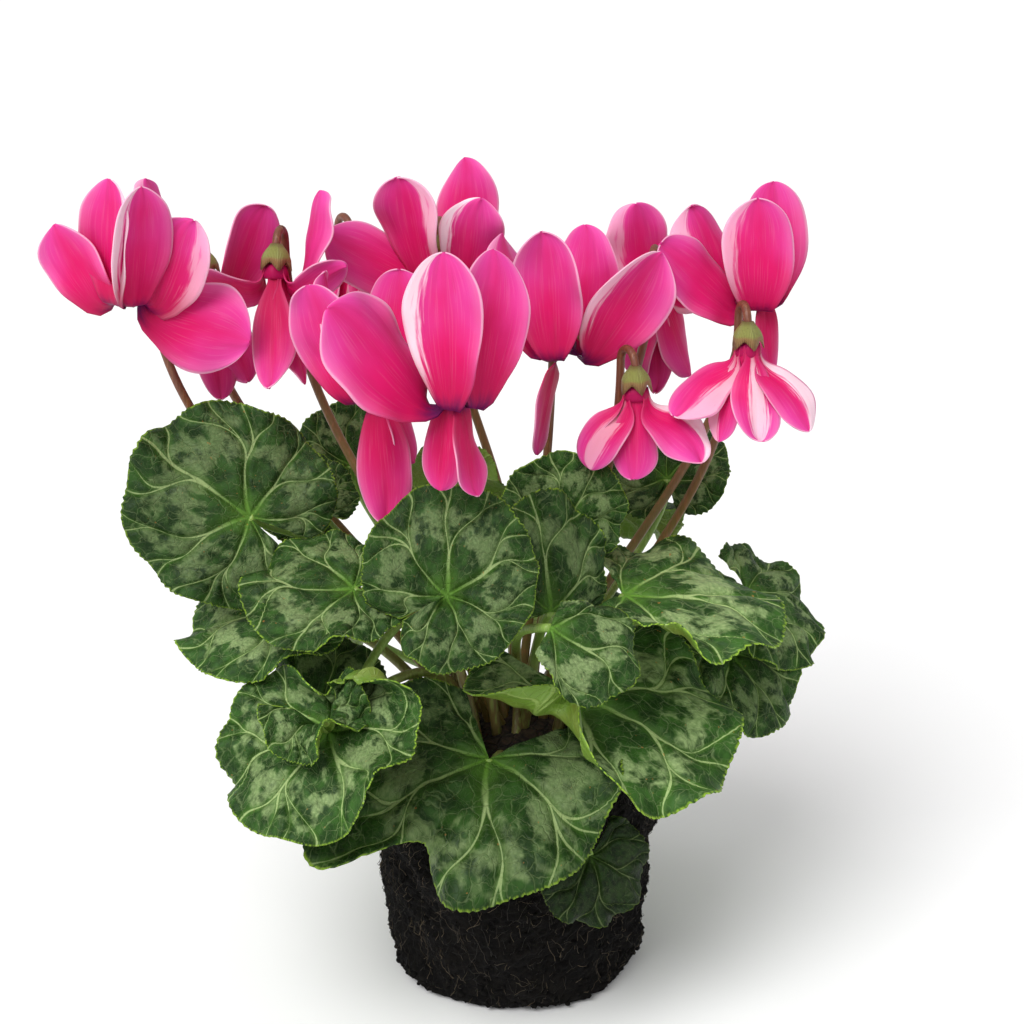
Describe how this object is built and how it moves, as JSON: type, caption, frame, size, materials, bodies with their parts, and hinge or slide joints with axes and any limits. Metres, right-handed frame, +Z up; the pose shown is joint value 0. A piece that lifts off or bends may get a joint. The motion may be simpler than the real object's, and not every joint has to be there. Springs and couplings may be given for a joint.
{
  "type": "flowering cyclamen plant with root ball",
  "caption": "Cyclamen in flower with heart-shaped marbled leaves, nodding pink blooms on hooked stems, and a bare root ball of fibre-bound compost.",
  "frame": {"origin": "centre of the flat foot of the root ball", "axes": "+Z up, -Y towards the front of the plant, +X to the right seen from the front"},
  "size_m": [0.2932, 0.2091, 0.3137],
  "materials": {
    "compost": "moist peat compost bound by fine tan roots",
    "tuber": "brown corky skin",
    "leaf": "dark green blade, marbled silver, with pale veins and a lime underside",
    "young_leaf": "lime green underside of a leaf seen from behind",
    "stem": "brown-purple skin with an olive calyx",
    "petal": "satin pink with white margins and a dark crimson throat"
  },
  "bodies": {
    "root": {"flower_01": "petal", "flower_02": "petal", "flower_03": "petal", "flower_04": "petal", "flower_05": "petal", "flower_06": "petal", "flower_07": "petal", "flower_08": "petal", "flower_09": "petal", "flower_10": "petal", "flower_11": "petal", "flower_12": "petal", "leaf_back_mid": "leaf", "leaf_centre": "leaf", "leaf_curled": "leaf", "leaf_far_right": "leaf", "leaf_front": "leaf", "leaf_grey": "leaf", "leaf_inner_left": "leaf", "leaf_left_back": "leaf", "leaf_left_small": "leaf", "leaf_lime": "young_leaf", "leaf_low_left": "leaf", "leaf_low_right": "leaf", "leaf_mid_left": "leaf", "leaf_mid_right": "leaf", "leaf_rear": "leaf", "leaf_rear_high": "leaf", "leaf_rear_left": "leaf", "leaf_rear_right": "leaf", "leaf_right": "leaf", "leaf_right_back": "leaf", "leaf_small_right": "leaf", "leaf_tall_left": "leaf", "leaf_under_front": "leaf", "root_ball": "compost", "stem_01": "stem", "stem_02": "stem", "stem_03": "stem", "stem_04": "stem", "stem_05": "stem", "stem_06": "stem", "stem_07": "stem", "stem_08": "stem", "stem_09": "stem", "stem_10": "stem", "stem_11": "stem", "stem_12": "stem", "tuber": "tuber"}
  },
  "joints": []
}
